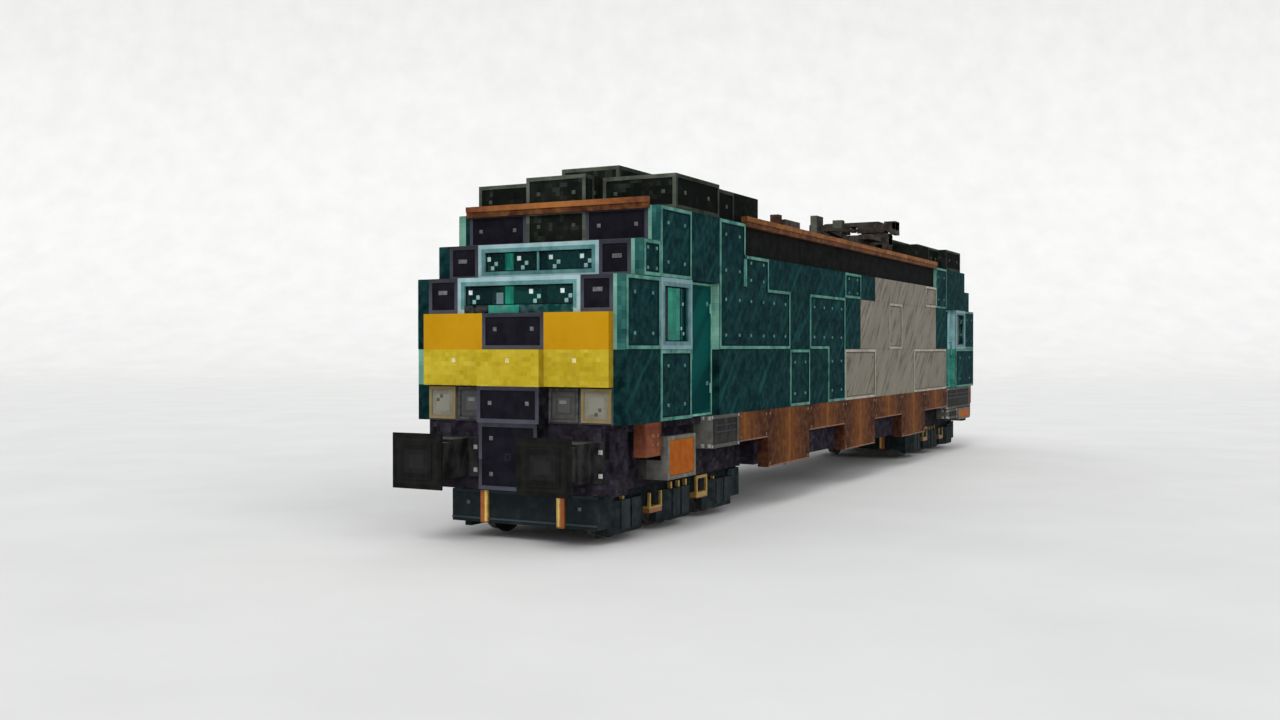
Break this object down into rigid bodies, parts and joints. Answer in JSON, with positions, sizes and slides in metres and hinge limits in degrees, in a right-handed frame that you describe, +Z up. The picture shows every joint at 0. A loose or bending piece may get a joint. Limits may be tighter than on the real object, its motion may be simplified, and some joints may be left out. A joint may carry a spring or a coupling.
{
  "type": "diesel locomotive",
  "caption": "Locomotive with a stepped cab at each end, swivelling bogies on spinning wheelsets, opening cab doors and a folding current collector on the roof.",
  "frame": {"origin": "middle of the locomotive's length and width, at the wheel flanges' lowest points", "axes": "+X across towards the side that the picture shows, +Y along away from the front cab, +Z up"},
  "size_m": [3.04, 19.264, 5.14],
  "materials": {
    "frame_paint": "matte dark paint with road dirt",
    "buffer_black": "greasy black paint",
    "panel_dark": "satin dark paint",
    "nose_yellow": "mottled bright yellow paint",
    "nose_orange": "satin orange yellow paint",
    "window_frame": "pale blue grey paint",
    "window_glass": "clear tinted glass",
    "body_green": "dark blue green paint, streaked",
    "door_green": "dark green paint",
    "body_beige": "beige paint, streaked",
    "band_black": "matte black paint",
    "copper_strip": "copper brown paint",
    "roof_olive": "matte olive black paint",
    "cab_lining": "bright green cab paint",
    "seat_cover": "dark woven cover",
    "engine_iron": "painted cast iron",
    "skirt_brown": "copper brown paint with dirt",
    "box_grey": "grey paint",
    "headlamp_cream": "cream lamp lens",
    "marker_grey": "grey lamp lens",
    "frame_green": "pale green paint",
    "frame_beige": "pale beige paint",
    "bogie_green": "dark green black cast steel",
    "bogie_brass": "worn brass",
    "wheel_steel": "rolled steel tread and oily web",
    "collector_grey": "grey paint"
  },
  "bodies": {
    "carbody": {"underframe": "frame_paint", "buffer_beams": "frame_paint", "buffers": "buffer_black", "coupling_covers": "panel_dark", "nose_lower": "nose_yellow", "nose_upper": "nose_orange", "end_panels": "panel_dark", "window_frames": "window_frame", "window_glass": "window_glass", "cab_sides": "body_green", "side_teal": "body_green", "side_beige": "body_beige", "roof_bands": "band_black", "copper_strips": "copper_strip", "roof_deck": "roof_olive", "cab_roofs": "roof_olive", "cab_linings": "cab_lining", "seats": "seat_cover", "engine_block": "engine_iron", "skirt_tanks": "skirt_brown", "side_boxes": "box_grey", "headlamps": "headlamp_cream", "marker_lamps": "marker_grey", "frames_teal": "frame_green", "frames_beige": "frame_beige", "collector_base": "collector_grey", "roof_boxes": "box_grey"},
    "front_bogie": {"front_bogie": "bogie_green", "front_bogie_brass": "bogie_brass"},
    "rear_bogie": {"rear_bogie": "bogie_green", "rear_bogie_brass": "bogie_brass"},
    "front_wheelset_1": {"front_wheelset_1": "wheel_steel"},
    "front_wheelset_2": {"front_wheelset_2": "wheel_steel"},
    "front_wheelset_3": {"front_wheelset_3": "wheel_steel"},
    "front_door_left": {"front_door_left": "door_green"},
    "front_door_right": {"front_door_right": "door_green"},
    "rear_wheelset_1": {"rear_wheelset_1": "wheel_steel"},
    "rear_wheelset_2": {"rear_wheelset_2": "wheel_steel"},
    "rear_wheelset_3": {"rear_wheelset_3": "wheel_steel"},
    "rear_door_left": {"rear_door_left": "door_green"},
    "rear_door_right": {"rear_door_right": "door_green"},
    "collector_lower_arm": {"collector_lower_arm": "collector_grey"},
    "collector_upper_arm": {"collector_upper_arm": "collector_grey"},
    "collector_head": {"collector_head": "collector_grey"}
  },
  "joints": [
    {"name": "front_bogie_swivel", "type": "hinge", "parent": "carbody", "child": "front_bogie", "pos_m": [0, -6.578, 0.71], "axis": [0, 0, 1], "range_deg": [-4, 4]},
    {"name": "front_axle_1", "type": "hinge", "parent": "front_bogie", "child": "front_wheelset_1", "pos_m": [0, -7.978, 0.448], "axis": [1, 0, 0], "continuous": true},
    {"name": "front_axle_2", "type": "hinge", "parent": "front_bogie", "child": "front_wheelset_2", "pos_m": [0, -6.578, 0.448], "axis": [1, 0, 0], "continuous": true},
    {"name": "front_axle_3", "type": "hinge", "parent": "front_bogie", "child": "front_wheelset_3", "pos_m": [0, -5.178, 0.448], "axis": [1, 0, 0], "continuous": true},
    {"name": "front_door_left_hinge", "type": "hinge", "parent": "carbody", "child": "front_door_left", "pos_m": [-1.29, -6.16, 2.316], "axis": [0, 0, 1], "range_deg": [0, 90]},
    {"name": "front_door_right_hinge", "type": "hinge", "parent": "carbody", "child": "front_door_right", "pos_m": [1.29, -6.16, 2.316], "axis": [0, 0, -1], "range_deg": [0, 90]},
    {"name": "rear_bogie_swivel", "type": "hinge", "parent": "carbody", "child": "rear_bogie", "pos_m": [0, 6.578, 0.71], "axis": [0, 0, 1], "range_deg": [-4, 4]},
    {"name": "rear_axle_1", "type": "hinge", "parent": "rear_bogie", "child": "rear_wheelset_1", "pos_m": [0, 7.978, 0.448], "axis": [1, 0, 0], "continuous": true},
    {"name": "rear_axle_2", "type": "hinge", "parent": "rear_bogie", "child": "rear_wheelset_2", "pos_m": [0, 6.578, 0.448], "axis": [1, 0, 0], "continuous": true},
    {"name": "rear_axle_3", "type": "hinge", "parent": "rear_bogie", "child": "rear_wheelset_3", "pos_m": [0, 5.178, 0.448], "axis": [1, 0, 0], "continuous": true},
    {"name": "rear_door_left_hinge", "type": "hinge", "parent": "carbody", "child": "rear_door_left", "pos_m": [-1.29, 6.16, 2.316], "axis": [0, 0, -1], "range_deg": [0, 90]},
    {"name": "rear_door_right_hinge", "type": "hinge", "parent": "carbody", "child": "rear_door_right", "pos_m": [1.29, 6.16, 2.316], "axis": [0, 0, 1], "range_deg": [0, 90]},
    {"name": "collector_raise", "type": "hinge", "parent": "carbody", "child": "collector_lower_arm", "pos_m": [0, 4.202, 4.62], "axis": [-1, 0, 0], "range_deg": [0, 50]},
    {"name": "collector_knee", "type": "hinge", "parent": "collector_lower_arm", "child": "collector_upper_arm", "pos_m": [0, 2.4463, 4.743], "axis": [1, 0, 0], "range_deg": [0, 100]},
    {"name": "collector_level", "type": "hinge", "parent": "collector_upper_arm", "child": "collector_head", "pos_m": [0, 4.202, 4.866], "axis": [-1, 0, 0], "range_deg": [0, 50]}
  ],
  "couplings": [
    {"joint": "collector_knee", "follows": "collector_raise", "ratio": 2},
    {"joint": "collector_level", "follows": "collector_raise", "ratio": 1}
  ]
}
